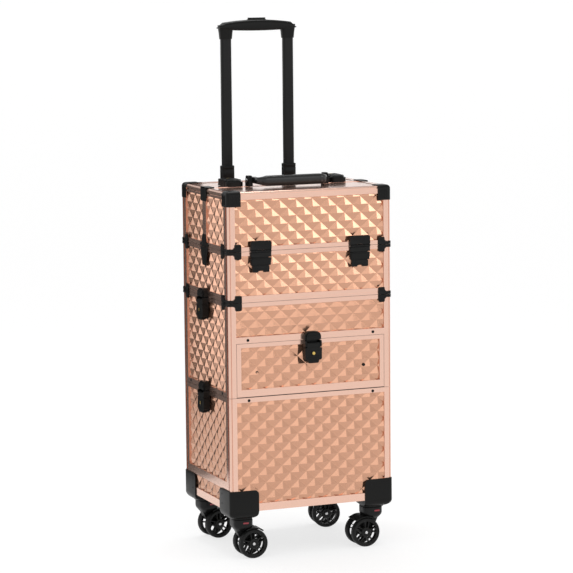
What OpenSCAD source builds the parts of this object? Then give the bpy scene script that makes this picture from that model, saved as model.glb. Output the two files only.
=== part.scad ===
// Rolling makeup train case: a wheeled base, a drawer section that lifts off it, and a top train
// case that lifts off the drawer section and opens in two halves over swing-out trays.
// Axes: x across the front, y from front (-) to back (+), z up from the floor.

/* [Case] */
// Width over the aluminium frame
case_w = 342; // [330:1:360]
// Depth over the aluminium frame
case_d = 254; // [248:1:264]
// Height of the underside of the case above the floor
body_z = 96; // [96:1:104]
// Height of the base section
base_h = 225; // [215:1:245]
// Height of the drawer section
mid_h = 185; // [180:1:200]
// Height of the tray tier of the top train case
tier_h = 99; // [94:1:110]
// Height of the two lid halves
lid_h = 115; // [112:1:125]
// Thickness of the lined side boards
board_t = 5; // [4:0.5:6]

/* [Aluminium frame] */
// Thickness of the edge extrusions
edge_t = 4.5; // [4:0.5:5]
// Width of the extrusions on the front and back faces
edge_front = 15; // [12:1:18]
// Width of the extrusions on the side faces
edge_side = 22; // [18:1:24]

/* [Drawer] */
// Height of the drawer front
drawer_h = 104; // [96:1:108]
// Depth of the drawer box from front to back
drawer_d = 212; // [190:1:214]

/* [Trolley handle] */
// Distance between the centres of the two poles
pole_span = 134; // [130:1:136]
// Distance of the poles' centre plane behind the case
pole_gap = 16; // [15:1:20]
// Top of the grip above the floor, pulled out
grip_z = 1041; // [1000:1:1060]

/* [Casters] */
// Diameter of each wheel
wheel_d = 58; // [54:1:58]
// Width of each wheel
wheel_w = 14; // [12:1:16]
// Trail: the axle's distance from the swivel axis
trail = 20; // [16:1:22]

/* [Hidden] */
$fn = 48;

// Levels of the seams between the sections, and half sizes of the case
mid_z = body_z + base_h;
tier_z = mid_z + mid_h;
lid_z = tier_z + tier_h;
top_z = lid_z + lid_h;
half_w = case_w / 2;
half_d = case_d / 2;
seam = 0.3;          // each section stops this far from the seam plane
run = 0.05;          // radial clearance of a running fit
board_out = 4.5;     // the boards lie this far inside the frame's outer face
board_w = half_w - board_out;
board_d = half_d - board_out;
inner_w = board_w - board_t;
inner_d = board_d - board_t;
frame_gap = 0.02;    // air between a frame and the boards behind it
rim = edge_t - frame_gap;
base_rail = 9.6;     // heights of the rails beside the seams
slim_rail = 8.6;

// Colours
rose = [0.87, 0.66, 0.56];
rose_frame = [0.90, 0.70, 0.61];
black = [0.10, 0.10, 0.10];
steel = [0.75, 0.75, 0.77];
lining = [0.13, 0.12, 0.12];

// Latches: width, reach above and below the seam, and how far they stand off the face
latch_w = 35;
latch_up = 17;
latch_down = 45;
latch_out = 14;
latch_pin_y = 9;
latch_pin_z = -8;
drawer_z = mid_z + 1.4;
drawer_top = drawer_z + drawer_h;

// Stay hinges: position along the face, and the pin's place
hinge_x = 104;
hinge_w = 43;
hinge_out = 2.5;
hinge_r = 1.4;
knuckle_r = 2.45;

// Tray arms: pivots on the tier, arm lengths to the two trays, and the lean of the closed arms
arm_y = [-92, -68];
arm_z = lid_z + 1;
arm_short = 24;
arm_long = 74;
arm_lean = 52.5;
arm_r = 4.5;
arm_t = 2.5;
arm_x = 152;
tray_x = 150;
tray_front = -112;
tray_back = -4;
tray_h = 28;
tray_t = 2;
tray_pin_h = 4;
pin_r = 2;

// Trolley handle
tube_w = 22;
tube_d = 13;
sleeve_t = 1.4;
collar_t = 2.6;
tube_r = 5;
slip = 0.25;
collar_top = top_z + 29;
collar_h = 26;
pole_foot = collar_top - 330;
grip_half = 83;
grip_h = 19;
grip_d = 24;
pole_top = grip_z - 32;
pole_y = half_d + pole_gap;

// Casters
caster_x = half_w - 31;
caster_y = half_d - 31;
neck_z = body_z - 17;
axle_r = 3;
wheel_r = wheel_d / 2;
fork_t = 14;
fork_gap = 1.5;
wheel_y = fork_t / 2 + fork_gap + wheel_w / 2;
stem_r = 6;
bracket_reach = 60;
bracket_top = body_z + 42;
skin = 2;

// The case sits forward of the middle so that the whole part, poles included, is centred in y
front_reach = half_d + latch_out;
back_reach = pole_y + tube_d / 2 + collar_t + 1.5;
case_y = (front_reach - back_reach) / 2;

module place() {
    translate([0, case_y, 0]) children();
}

module both_x() {
    children();
    mirror([1, 0, 0]) children();
}

module both_y() {
    children();
    mirror([0, 1, 0]) children();
}

module four() {
    both_x() both_y() children();
}

// Rectangle with true round corners, centred
module round_rect(w, d, r) {
    square([w - 2 * r, d], center = true);
    square([w, d - 2 * r], center = true);
    for (x = [-1, 1], y = [-1, 1])
        translate([x * (w / 2 - r), y * (d / 2 - r)]) circle(r);
}

// Open tray or box: outer size given by its corners, with walls and a floor
module open_box(low, high, wall, base) {
    difference() {
        translate(low) cube(high - low);
        translate(low + [wall, wall, base])
            cube(high - low - [2 * wall, 2 * wall, 0]);
    }
}

// Cross-section of an edge extrusion: corner at the origin, one arm along -x and one along +y,
// a rounded bead at the corner between a narrow groove and a wide one
module edge_profile(arm_a, arm_b) {
    narrow = 2.6;
    wide = 3.4;
    narrow_at = 2.7;
    wide_at = 7.3;
    groove_d = 2.2;
    difference() {
        union() {
            translate([-arm_a, 0]) square([arm_a - edge_t, rim]);
            translate([-rim, edge_t]) square([rim, arm_b - edge_t]);
            intersection() {
                translate([-edge_t, edge_t]) circle(edge_t);
                translate([-edge_t, 0]) square(edge_t);
            }
        }
        translate([-narrow_at - narrow, -1]) square([narrow, 1 + groove_d]);
        translate([-groove_d, wide_at]) square([1 + groove_d, wide]);
    }
}

module corner_post(z0, z1) {
    four() translate([half_w, -half_d, z0]) linear_extrude(z1 - z0) edge_profile(edge_front, edge_side);
}

// Flat rails between the posts, on one face or round all four
module front_rail(z0, z1) {
    w = half_w - edge_front;
    translate([-w, -half_d, z0]) cube([2 * w, rim, z1 - z0]);
}

module side_rail(z0, z1) {
    d = half_d - edge_side;
    translate([half_w - rim, -d, z0]) cube([rim, 2 * d, z1 - z0]);
}

module back_rail(z0, z1) {
    mirror([0, 1, 0]) front_rail(z0, z1);
}

module rails_round(z0, z1) {
    front_rail(z0, z1);
    back_rail(z0, z1);
    both_x() side_rail(z0, z1);
}

// Shallow lines cut along the front and side rails beside a seam
module rail_lines(z) {
    line_h = 1.4;
    line_d = 0.9;
    w = half_w - edge_front;
    d = half_d - edge_side;
    both_y() translate([-w, -half_d - 1, z]) cube([2 * w, 1 + line_d, line_h]);
    both_x() translate([half_w - line_d, -d, z]) cube([1 + line_d, 2 * d, line_h]);
}

// Board walls of a section, open at the top, with a floor of the same board
module section_box(z0, z1, floor_t) {
    open_box([-board_w, -board_d, z0], [board_w, board_d, z1], board_t, floor_t);
}

// ---- Base section ----

module base_box() {
    color(lining) place() section_box(body_z + 1, mid_z - seam, 8);
}

module base_frame() {
    bar_z = body_z + 42;
    color(rose_frame) place() {
        corner_post(body_z, mid_z - seam);
        rails_round(body_z, body_z + 15);
        rails_round(mid_z - base_rail, mid_z - seam);
        both_x() side_rail(bar_z, bar_z + 16);
    }
}

// Plastic corner shoe that wraps the bottom corner and carries the caster's swivel bore
module caster_bracket() {
    w = half_w + skin;
    d = half_d + skin;
    neck_r = 30;
    corner_r = 7;
    difference() {
        union() {
            translate([w - bracket_reach, -d, neck_z + 13]) cube([bracket_reach - corner_r, skin, bracket_top - neck_z - 13]);
            translate([w - skin, -d + corner_r, neck_z + 13]) cube([skin, bracket_reach - corner_r, bracket_top - neck_z - 13]);
            intersection() {
                translate([w - corner_r, -d + corner_r, neck_z + 13]) cylinder(bracket_top - neck_z - 13, corner_r, corner_r);
                translate([w - corner_r, -d, neck_z + 13]) cube([corner_r, corner_r, 200]);
            }
            translate([w - bracket_reach, -d + corner_r, neck_z + 13]) cube([bracket_reach - skin, bracket_reach - corner_r, 3.9]);
            translate([caster_x, -caster_y, neck_z]) cylinder(13, 23, neck_r);
        }
        translate([0, -half_d, body_z]) cube([half_w, case_d, 200]);
        translate([caster_x, -caster_y, neck_z - 1]) cylinder(40, stem_r + run, stem_r + run);
    }
}

module caster_brackets() {
    color(black) place() four() caster_bracket();
}

// Lower part of a key latch: plate and two cheeks that hold the lever's pin; seam at z = 0, face at y = 0
module latch_base() {
    cheek = 3.3;
    low = -33;
    difference() {
        union() {
            translate([-latch_w / 2, -3, low]) cube([latch_w, 3, -low - 0.6]);
            for (x = [-latch_w / 2, latch_w / 2 - cheek])
                translate([x, -13, low]) cube([cheek, 10.5, -low - 0.6]);
        }
        translate([0, -latch_pin_y, latch_pin_z]) rotate([0, 90, 0])
            cylinder(latch_w + 2, 1.8 + run, 1.8 + run, center = true);
    }
}

// Upper part of a key latch: round-topped catch block
module latch_catch() {
    r = 12;
    rotate([90, 0, 0]) linear_extrude(12) {
        translate([-latch_w / 2, 0.6]) square([latch_w, latch_up - r - 0.6]);
        translate([-latch_w / 2 + r, latch_up - r - 0.01]) square([latch_w - 2 * r, r]);
        for (s = [-1, 1])
            intersection() {
                translate([s * (latch_w / 2 - r), latch_up - r]) circle(r);
                translate([-latch_w / 2, latch_up - r - 0.01]) square([latch_w, r + 1]);
            }
    }
}

// Lever of a key latch, hanging from its pin, narrowing to a finger tip
module latch_lever() {
    w = latch_w / 2 - 3.8;
    tip = 9.5;
    pin = latch_w / 2 - 0.4;
    t = 4;
    head = latch_pin_z + 1.5;
    union() {
        translate([0, t - latch_out, 0]) rotate([90, 0, 0]) linear_extrude(t)
            polygon([[-w, head], [w, head], [w, -30], [tip, -34], [tip, -latch_down + 2], [tip - 2, -latch_down],
                [2 - tip, -latch_down], [-tip, -latch_down + 2], [-tip, -34], [-w, -30]]);
        translate([0, -latch_pin_y, latch_pin_z]) rotate([0, 90, 0]) {
            cylinder(2 * w, 3.6, 3.6, center = true);
            cylinder(2 * pin, 1.8, 1.8, center = true);
        }
    }
}

// Places for the latches: side faces at a seam level, and the drawer front
module on_right(z) {
    translate([half_w, 0, z]) rotate([0, 0, 90]) children();
}

module on_left(z) {
    translate([-half_w, 0, z]) rotate([0, 0, -90]) children();
}

module on_lid(x) {
    translate([x, 0, top_z]) rotate([-90, 0, 180]) children();
}

lid_latch_x = 110;

// Rounded-rectangle sleeve standing at the poles' place
module pole_sleeve(z0, z1, out, bore) {
    translate([pole_span / 2, pole_y, z0]) linear_extrude(z1 - z0) difference() {
        round_rect(tube_w + 2 * out, tube_d + 2 * out, tube_r + out * 0.5);
        round_rect(tube_w + 2 * bore, tube_d + 2 * bore, tube_r + bore);
    }
}

module trolley_tubes() {
    color(black) place() both_x() pole_sleeve(body_z + 14, collar_top - 4, sleeve_t + slip, slip);
}

// Latch bases, the clamps that hold the sleeves to the back, and the collars at the sleeves' tops
module base_fittings() {
    out = sleeve_t + slip;
    hold = out + 0.02;
    clamp_h = 26;
    color(black) place() {
        on_right(mid_z) latch_base();
        on_left(mid_z) latch_base();
    }
    color(black) place() both_x() {
        difference() {
            pole_sleeve(collar_top - collar_h, collar_top, collar_t, slip);
            pole_sleeve(collar_top - collar_h - 1, collar_top - 4, out, -2);
        }
        for (z = [body_z + 20, mid_z - 50])
            difference() {
                translate([pole_span / 2 - 21, half_d, z])
                    cube([42, back_reach - half_d, clamp_h]);
                translate([pole_span / 2, pole_y, z - 1]) linear_extrude(clamp_h + 2)
                    round_rect(tube_w + 2 * hold, tube_d + 2 * hold, tube_r + out * 0.5);
            }
    }
}

// ---- Drawer section ----

channel_t = 5;
channel_h = 22;
channel_z = drawer_z + 46;
drawer_side = inner_w - channel_t - 5.5;

module drawer_section_box() {
    color(lining) place() {
        difference() {
            section_box(mid_z + seam, tier_z - seam, 6);
            translate([-inner_w, -board_d - 1, drawer_z - 0.8]) cube([2 * inner_w, board_t + 2, drawer_h + 1.4]);
        }
        // divider between the drawer and the open compartment above it
        translate([-inner_w - 1, -inner_d - 1, drawer_top + 3]) cube([2 * inner_w + 2, 2 * inner_d + 2, 6]);
    }
}

module drawer_section_frame() {
    color(rose_frame) place() {
        corner_post(mid_z + seam, tier_z - seam);
        rails_round(tier_z - slim_rail, tier_z - seam);
        front_rail(drawer_top + 0.6, drawer_top + 13);
        back_rail(mid_z + seam, mid_z + base_rail);
        both_x() side_rail(mid_z + seam, mid_z + base_rail);
    }
}

module drawer_channels() {
    lip = 1.5;
    slot = 12;
    color(steel) place() both_x() difference() {
        translate([inner_w - channel_t, -inner_d + 4, channel_z]) cube([channel_t, 2 * inner_d - 8, channel_h]);
        translate([inner_w - channel_t - 1, -inner_d, channel_z + (channel_h - slot) / 2])
            cube([channel_t + 1 - lip, 2 * inner_d, slot]);
    }
}

// Half of the corner guard at a seam: a band round the corner with a pad at each end
module seam_pad() {
    band = 6;
    pad = 14;
    x_reach = 27;
    y_reach = 34;
    front_pad = 17;
    side_pad = 12;
    t = 1.6;
    difference() {
        union() {
            translate([half_w - x_reach, -half_d - t, 0.4]) cube([x_reach + t, y_reach, band]);
            translate([half_w - x_reach, -half_d - t, 0.4]) cube([front_pad, t, pad]);
            translate([half_w, -half_d + y_reach - side_pad, 0.4]) cube([t, side_pad, pad]);
        }
        translate([half_w - 100, -half_d, -1]) cube([100, 100, 40]);
    }
}

module drawer_section_fittings() {
    color(black) place() {
        four() translate([0, 0, tier_z]) mirror([0, 0, 1]) seam_pad();
        on_right(mid_z) latch_catch();
        on_left(mid_z) latch_catch();
        on_right(tier_z) latch_base();
        on_left(tier_z) latch_base();
        translate([0, -half_d, drawer_top]) latch_catch();
    }
}

module drawer_box() {
    front = -inner_d;
    color(lining) place()
        open_box([-drawer_side, front, drawer_z + 8], [drawer_side, front + drawer_d, drawer_top - 6], 4, 4);
}

module drawer_front() {
    w = half_w - edge_front - 0.6;
    color(rose_frame) place() {
        difference() {
            translate([-w, -half_d, drawer_z]) cube([2 * w, edge_t, drawer_h]);
            translate([-w + 9, -half_d - 1, drawer_z + 14]) cube([2 * w - 18, edge_t + 2, drawer_h - 22]);
        }
        translate([-w, -half_d + edge_t, drawer_z]) cube([2 * w, board_t, drawer_h]);
    }
}

// Side rails of the drawer, with a runner at the back end that stays inside the channel
module drawer_rails() {
    t = 4.4;
    runner = 42;
    rail_l = drawer_d - 14;
    color(steel) place() both_x() {
        translate([drawer_side, -inner_d + 12, channel_z - 2]) cube([t, rail_l, channel_h + 4]);
        translate([drawer_side + t - 0.1, -inner_d + 12 + rail_l - runner, channel_z + 6])
            cube([4, runner, channel_h - 12]);
    }
}

module drawer_lock_base() {
    color(black) place() translate([0, -half_d, drawer_top]) latch_base();
}

module drawer_lock_lever() {
    color(black) place() translate([0, -half_d, drawer_top]) latch_lever();
}

// ---- Tray tier of the top train case ----

module train_case_box() {
    color(lining) place() section_box(tier_z + seam, lid_z - seam, 6);
}

module train_case_frame() {
    color(rose_frame) place() difference() {
        union() {
            corner_post(tier_z + seam, lid_z - seam);
            rails_round(tier_z + seam, tier_z + 13);
            rails_round(lid_z - slim_rail, lid_z - seam);
        }
        rail_lines(tier_z + 5);
        rail_lines(lid_z - 4.5);
    }
}

// Wedge-shaped plate at the middle of a side, below the lid seam
module tier_side_wedge() {
    t = 1.6;
    translate([half_w + t, 0, lid_z]) rotate([90, 0, -90]) linear_extrude(t)
        polygon([[-20, -0.6], [20, -0.6], [14, -20], [9, -37], [-9, -37], [-14, -20]]);
}

module train_case_fittings() {
    color(black) place() {
        four() translate([0, 0, lid_z]) mirror([0, 0, 1]) seam_pad();
        four() translate([0, 0, tier_z]) seam_pad();
        both_x() tier_side_wedge();
        on_right(tier_z) latch_catch();
        on_left(tier_z) latch_catch();
    }
}

// Upright plates on the tier's side boards with the pins that the tray arms turn on
module tray_arm_brackets() {
    plate_h = 40;
    air = 0.6;
    plate_x = arm_x + arm_t + 1;
    plate_d = arm_y[1] - arm_y[0] + 16;
    color(steel) place() both_y() both_x() {
        translate([plate_x, arm_y[0] - 8, arm_z + 7 - plate_h]) cube([inner_w - air - plate_x, plate_d, plate_h]);
        translate([plate_x, arm_y[0] - 8, arm_z + 7 - plate_h]) cube([inner_w - plate_x, plate_d, plate_h - 10]);
        for (y = arm_y)
            translate([arm_x - 1, y, arm_z]) rotate([0, 90, 0]) cylinder(arm_t + 3, pin_r, pin_r);
    }
}

// Fixed leaf of a stay hinge, on the tier: middle knuckle, block and notched tongue
module stay_leaf() {
    mid = 17;
    tongue = 35;
    difference() {
        union() {
            translate([-hinge_w / 2, -3, -24]) cube([hinge_w, 3, 21]);
            translate([-tongue / 2, -3, -41]) cube([tongue, 3, 17.5]);
            translate([-mid / 2, -hinge_out - 2, -16]) cube([mid, hinge_out + 2, 15]);
            translate([0, -hinge_out, 0]) rotate([0, 90, 0]) cylinder(mid, knuckle_r, knuckle_r, center = true);
        }
        translate([-5, -4, -42]) cube([10, 5, 7]);
        translate([0, -hinge_out, 0]) rotate([0, 90, 0]) cylinder(mid + 2, hinge_r + run, hinge_r + run, center = true);
        translate([-30, 0, -20]) cube([60, 10, 40]);
    }
}

// Moving leaf of a stay hinge, on a lid half: two knuckles and a riveted plate
module lid_leaf() {
    mid = 17.8;
    difference() {
        union() {
            translate([-hinge_w / 2, -3, 3]) cube([hinge_w, 3, 17]);
            for (s = [-1, 1])
                translate([s * (mid / 2 + (hinge_w - mid) / 4), 0, 0]) {
                    translate([-(hinge_w - mid) / 4, -hinge_out - 1.5, 0])
                        cube([(hinge_w - mid) / 2, hinge_out + 1.5, 5]);
                    translate([0, -hinge_out, 0]) rotate([0, 90, 0])
                        cylinder((hinge_w - mid) / 2, knuckle_r, knuckle_r, center = true);
                }
        }
        translate([0, -hinge_out, 0]) rotate([0, 90, 0])
            cylinder(hinge_w + 2, hinge_r + run, hinge_r + run, center = true);
        translate([-30, -0.01, -20]) cube([60, 10, 40]);
    }
}

module at_hinges() {
    both_x() translate([hinge_x, -half_d, lid_z]) children();
}

module stay_hinge_leaves() {
    color(black) place() both_y() at_hinges() stay_leaf();
}

module hinge_pins() {
    color(steel) place() both_y() at_hinges()
        translate([0, -hinge_out, 0]) rotate([0, 90, 0]) cylinder(hinge_w, hinge_r, hinge_r, center = true);
}

// ---- Lid halves ----

module lid_shell() {
    color(lining) place() difference() {
        translate([-board_w, -board_d, lid_z + seam]) cube([2 * board_w, board_d - 0.4, lid_h - seam - board_out]);
        translate([-inner_w, -inner_d, lid_z - 1]) cube([2 * inner_w, inner_d + 1, lid_h + 1 - board_out - board_t]);
    }
}

module lid_frame() {
    strip = 9;
    y1 = 0.4;
    color(rose_frame) place() {
        both_x() {
            translate([half_w, -half_d, lid_z + seam]) linear_extrude(lid_h - edge_t - seam)
                edge_profile(edge_front, edge_side);
            // top edge of the side
            translate([half_w, -half_d + edge_t, top_z]) rotate([-90, 0, 0])
                linear_extrude(half_d - edge_t - y1) edge_profile(edge_side - 4, edge_front);
            translate([half_w - rim, -half_d + edge_side, lid_z + seam])
                cube([rim, half_d - edge_side - y1, slim_rail - seam]);
            translate([half_w - rim, -strip - y1, lid_z + seam]) cube([rim, strip, lid_h - 16]);
            // round tip of the corner
            translate([half_w - edge_t, -half_d + edge_t, top_z - edge_t]) intersection() {
                sphere(edge_t);
                translate([0, -edge_t, 0]) cube(edge_t);
            }
        }
        translate([half_w - edge_t, -half_d, top_z]) rotate([0, -90, 0])
            linear_extrude(case_w - 2 * edge_t) edge_profile(edge_front, edge_side);
        front_rail(lid_z + seam, lid_z + slim_rail);
        translate([-half_w + edge_front, -strip - y1, top_z - rim]) cube([case_w - 2 * edge_front, strip, rim]);
        // smooth top sheet between the strips
        translate([-half_w + edge_front + 2, -half_d + edge_side - 0.1, top_z - rim])
            cube([case_w - 2 * edge_front - 4, half_d - edge_side - strip - y1 + 0.2, rim - 0.8]);
    }
}

// Ribbed corner cap, half seam guards and middle pieces of a lid half
module lid_corner_cap() {
    t = 1.6;
    reach = 27;
    drop = 28;
    r = 8;
    n = reach + t;
    translate([half_w + t, -half_d - t, top_z + t]) difference() {
        intersection() {
            translate([0, 0, -drop - t]) linear_extrude(drop + t) cap_outline(n, n, r);
            translate([0, 0, 0]) rotate([0, -90, 0]) linear_extrude(n) cap_outline(drop + t, n, r);
            translate([0, n, 0]) rotate([90, 0, 0]) linear_extrude(n) mirror([0, 1]) cap_outline(n, drop + t, r);
        }
        translate([-t - 100, t, -t - 100]) cube(100);
    }
}

// Square with one round corner at the origin, arms along -x and +y
module cap_outline(a, b, r) {
    translate([-a, 0]) square([a - r, b]);
    translate([-a, r]) square([a, b - r]);
    intersection() {
        translate([-r, r]) circle(r);
        translate([-r, 0]) square(r);
    }
}

module lid_corner_set() {
    t = 1.6;
    y1 = 0.4;
    color(black) place() both_x() {
        lid_corner_cap();
        translate([0, 0, lid_z]) seam_pad();
        // half wedge above the side seam
        translate([half_w, -y1, lid_z + 0.6]) rotate([90, 0, 90]) linear_extrude(t)
            polygon([[-22, 0], [0, 0], [0, 24], [-7, 24], [-12, 9], [-22, 5]]);
        // half cap at the top of the side seam
        translate([half_w, -y1 - 15, top_z - 26]) cube([t, 15, 26]);
        translate([half_w - 16, -y1 - 15, top_z]) cube([16 + t, 15, t]);
    }
}

module lid_front_shell() {
    lid_shell();
}

module lid_front_frame() {
    lid_frame();
}

module lid_front_corners() {
    lid_corner_set();
}

module lid_front_hinge_leaves() {
    color(black) place() at_hinges() lid_leaf();
}

module to_back() {
    translate([0, 2 * case_y, 0]) mirror([0, 1, 0]) children();
}

module lid_back_shell() {
    to_back() lid_shell();
}

module lid_back_frame() {
    to_back() lid_frame();
}

module lid_back_corners() {
    to_back() lid_corner_set();
}

module lid_back_hinge_leaves() {
    color(black) place() mirror([0, 1, 0]) at_hinges() lid_leaf();
}

module lid_back_fittings() {
    color(black) place() both_x() on_lid(lid_latch_x) latch_base();
}

// Carry handle, folded forward over the front lid half
handle_x = 76;
handle_y = -11;
handle_z = top_z + 12;
handle_pin_r = 2.5;

// Catches of the lid latches and the brackets of the carry handle
module lid_front_fittings() {
    t = 9;
    color(black) place() both_x() on_lid(lid_latch_x) latch_catch();
    color(black) place() both_x() difference() {
        translate([handle_x, 0, top_z]) rotate([90, 0, 90]) linear_extrude(t)
            polygon([[-22, 0], [-1, 0], [-1, 5], [-5, 21], [-17, 21], [-22, 10]]);
        translate([handle_x - 1, handle_y, handle_z]) rotate([0, 90, 0])
            cylinder(t + 2, handle_pin_r + run, handle_pin_r + run);
    }
}

module carry_handle() {
    arm_w = 9;
    grip_y = -44;
    grip_r = 9.5;
    color(black) place() {
        both_x() {
            translate([handle_x - 0.4 - arm_w, 0, 0]) {
                translate([0, handle_y, handle_z]) rotate([0, 90, 0]) cylinder(arm_w, 6.5, 6.5);
                translate([0, grip_y, handle_z - 6.5]) cube([arm_w, handle_y - grip_y, 13]);
                translate([0, handle_y, handle_z]) rotate([0, 90, 0])
                    cylinder(arm_w + 8, handle_pin_r, handle_pin_r);
            }
        }
        translate([-handle_x + 0.4, grip_y, handle_z]) rotate([0, 90, 0])
            cylinder(2 * handle_x - 0.8, grip_r, grip_r);
    }
}

module lid_latch_lever_left() {
    color(black) place() on_lid(-lid_latch_x) latch_lever();
}

module lid_latch_lever_right() {
    color(black) place() on_lid(lid_latch_x) latch_lever();
}

module upper_latch_lever_left() {
    color(black) place() on_left(tier_z) latch_lever();
}

module upper_latch_lever_right() {
    color(black) place() on_right(tier_z) latch_lever();
}

module lower_latch_lever_left() {
    color(black) place() on_left(mid_z) latch_lever();
}

module lower_latch_lever_right() {
    color(black) place() on_right(mid_z) latch_lever();
}

// ---- Trays and their arms ----

function arm_end(i, length) =
    [arm_y[i] + length * sin(arm_lean), arm_z + length * cos(arm_lean)];

module tray(length) {
    low = arm_end(0, length)[1] - tray_pin_h;
    color(lining) place() {
        open_box([-tray_x, tray_front, low], [tray_x, tray_back, low + tray_h], tray_t, tray_t);
        // divider along the middle
        translate([-1, tray_front + 1, low + 1]) cube([2, tray_back - tray_front - 2, tray_h * 0.7]);
        both_x() for (i = [0, 1])
            translate([tray_x - 1, arm_end(i, length)[0], arm_end(i, length)[1]]) rotate([0, 90, 0])
                cylinder(arm_x + arm_t - tray_x + 1.6, pin_r, pin_r);
    }
}

// One pair of arms, at the left and right ends of the trays; bore is the clearance at the tray pins
module tray_arms(i, bore) {
    hole = 4 * arm_t;
    color(steel) place() both_x() translate([arm_x, arm_y[i], arm_z]) rotate([-arm_lean, 0, 0])
        difference() {
            union() {
                rotate([0, 90, 0]) cylinder(arm_t, arm_r, arm_r);
                translate([0, 0, arm_long]) rotate([0, 90, 0]) cylinder(arm_t, arm_r, arm_r);
                translate([0, -arm_r, 0]) cube([arm_t, 2 * arm_r, arm_long]);
            }
            translate([-1, 0, 0]) rotate([0, 90, 0]) cylinder(hole, pin_r + run, pin_r + run);
            for (l = [arm_short, arm_long])
                translate([-1, 0, l]) rotate([0, 90, 0]) cylinder(hole, pin_r + bore, pin_r + bore);
        }
}

open_pivot = 0.4;

module front_tray_lower() {
    tray(arm_short);
}

module front_tray_upper() {
    tray(arm_long);
}

module back_tray_lower() {
    to_back() tray(arm_short);
}

module back_tray_upper() {
    to_back() tray(arm_long);
}

module front_arms_a() {
    tray_arms(0, run);
}

module front_arms_b() {
    tray_arms(1, open_pivot);
}

module back_arms_a() {
    to_back() tray_arms(0, run);
}

module back_arms_b() {
    to_back() tray_arms(1, open_pivot);
}

// ---- Trolley handle ----

module trolley_poles() {
    color(black) place() both_x() translate([pole_span / 2, pole_y, pole_foot])
        linear_extrude(pole_top - pole_foot) difference() {
            round_rect(tube_w, tube_d, tube_r);
            round_rect(tube_w - 3, tube_d - 3, tube_r - 1.5);
        }
}

// Side outline of the grip: gently arched above and below, with chamfered ends
module grip_outline() {
    w = grip_half;
    steps = 16;
    crown = 7;
    sag = 3;
    polygon(concat(
        [for (i = [0 : steps]) let (u = 2 * i / steps - 1) [u * (w - 10), -crown * u * u]],
        [[w, -crown - 7]],
        [for (i = [steps : -1 : 0]) let (u = 2 * i / steps - 1) [u * (w - 6), -grip_h - sag * (1 - u * u)]],
        [[-w, -crown - 7]]
    ));
}

module trolley_grip() {
    button_w = 37;
    ferrule_z = pole_top - 6;
    color(black) place() difference() {
        union() {
            translate([0, pole_y + grip_d / 2, grip_z]) rotate([90, 0, 0]) linear_extrude(grip_d) grip_outline();
            both_x() translate([pole_span / 2, pole_y, ferrule_z]) {
                linear_extrude(grip_z - 15 - ferrule_z) round_rect(tube_w + 3, tube_d + 4, tube_r + 1);
                translate([0, 0, 10]) linear_extrude(grip_z - 25 - ferrule_z) round_rect(tube_w + 7, tube_d + 7, tube_r + 2);
            }
        }
        both_x() translate([pole_span / 2, pole_y, ferrule_z - 1]) linear_extrude(7.02)
            round_rect(tube_w + 0.04, tube_d + 0.04, tube_r + 0.02);
        translate([0, pole_y, grip_z - 8]) linear_extrude(20) round_rect(button_w + 0.8, 12.8, 5.4);
    }
}

module trolley_button() {
    color(black) place() translate([0, pole_y, grip_z - 4.5]) linear_extrude(8.5) round_rect(37, 12, 5);
}

// ---- Casters ----

// Swivel fork: housing under the bracket, stem, blade down to the axle; the axle lies toward +x
module caster_fork(angle) {
    housing_r = 20;
    housing_z = wheel_d + 3;
    housing_top = neck_z - 0.4;
    color(black) rotate([0, 0, angle]) {
        translate([0, 0, housing_z]) cylinder(housing_top - housing_z, housing_r, housing_r);
        translate([0, 0, housing_top - 1]) cylinder(body_z - 2 - housing_top, stem_r, stem_r);
        translate([0, fork_t / 2, 0]) rotate([90, 0, 0]) linear_extrude(fork_t) {
            polygon([[-15, housing_z + 2], [19, housing_z + 2], [trail + 10, wheel_r], [trail - 9, wheel_r - 4], [-6, 46]]);
            translate([trail, wheel_r]) circle(10);
        }
        translate([trail, 0, wheel_r]) rotate([90, 0, 0])
            cylinder(2 * (wheel_y + wheel_w / 2 + 1), axle_r, axle_r, center = true);
    }
}

// Open five-spoke wheel
module caster_wheel() {
    spokes = 5;
    rotate([90, 0, 0]) difference() {
        union() {
            cylinder(wheel_w, 9, 9, center = true);
            difference() {
                cylinder(wheel_w, wheel_r, wheel_r, center = true);
                cylinder(wheel_w + 1, wheel_r - 6.5, wheel_r - 6.5, center = true);
            }
            for (i = [0 : spokes - 1])
                rotate([0, 0, 360 / spokes * i]) translate([0, -2.5, -wheel_w / 2 + 3])
                    cube([wheel_r - 4, 5, wheel_w - 6]);
        }
        cylinder(wheel_w + 2, axle_r + run, axle_r + run, center = true);
    }
}

// One of a caster's two wheels: a on the side of -y before turning, b on the other
module wheel_on(angle, side) {
    color(black) rotate([0, 0, angle]) translate([trail, side * wheel_y, wheel_r]) caster_wheel();
}

module at_caster(sx, sy) {
    place() translate([sx * caster_x, sy * caster_y, 0]) children();
}

// Each caster's heading
heading_front_left = 0;
heading_front_right = 180;
heading_back_left = 8;
heading_back_right = 172;

module caster_fork_front_left() {
    at_caster(-1, -1) caster_fork(heading_front_left);
}

module caster_fork_front_right() {
    at_caster(1, -1) caster_fork(heading_front_right);
}

module caster_fork_back_left() {
    at_caster(-1, 1) caster_fork(heading_back_left);
}

module caster_fork_back_right() {
    at_caster(1, 1) caster_fork(heading_back_right);
}

module wheel_front_left_a() {
    at_caster(-1, -1) wheel_on(heading_front_left, -1);
}

module wheel_front_left_b() {
    at_caster(-1, -1) wheel_on(heading_front_left, 1);
}

module wheel_front_right_a() {
    at_caster(1, -1) wheel_on(heading_front_right, -1);
}

module wheel_front_right_b() {
    at_caster(1, -1) wheel_on(heading_front_right, 1);
}

module wheel_back_left_a() {
    at_caster(-1, 1) wheel_on(heading_back_left, -1);
}

module wheel_back_left_b() {
    at_caster(-1, 1) wheel_on(heading_back_left, 1);
}

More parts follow.
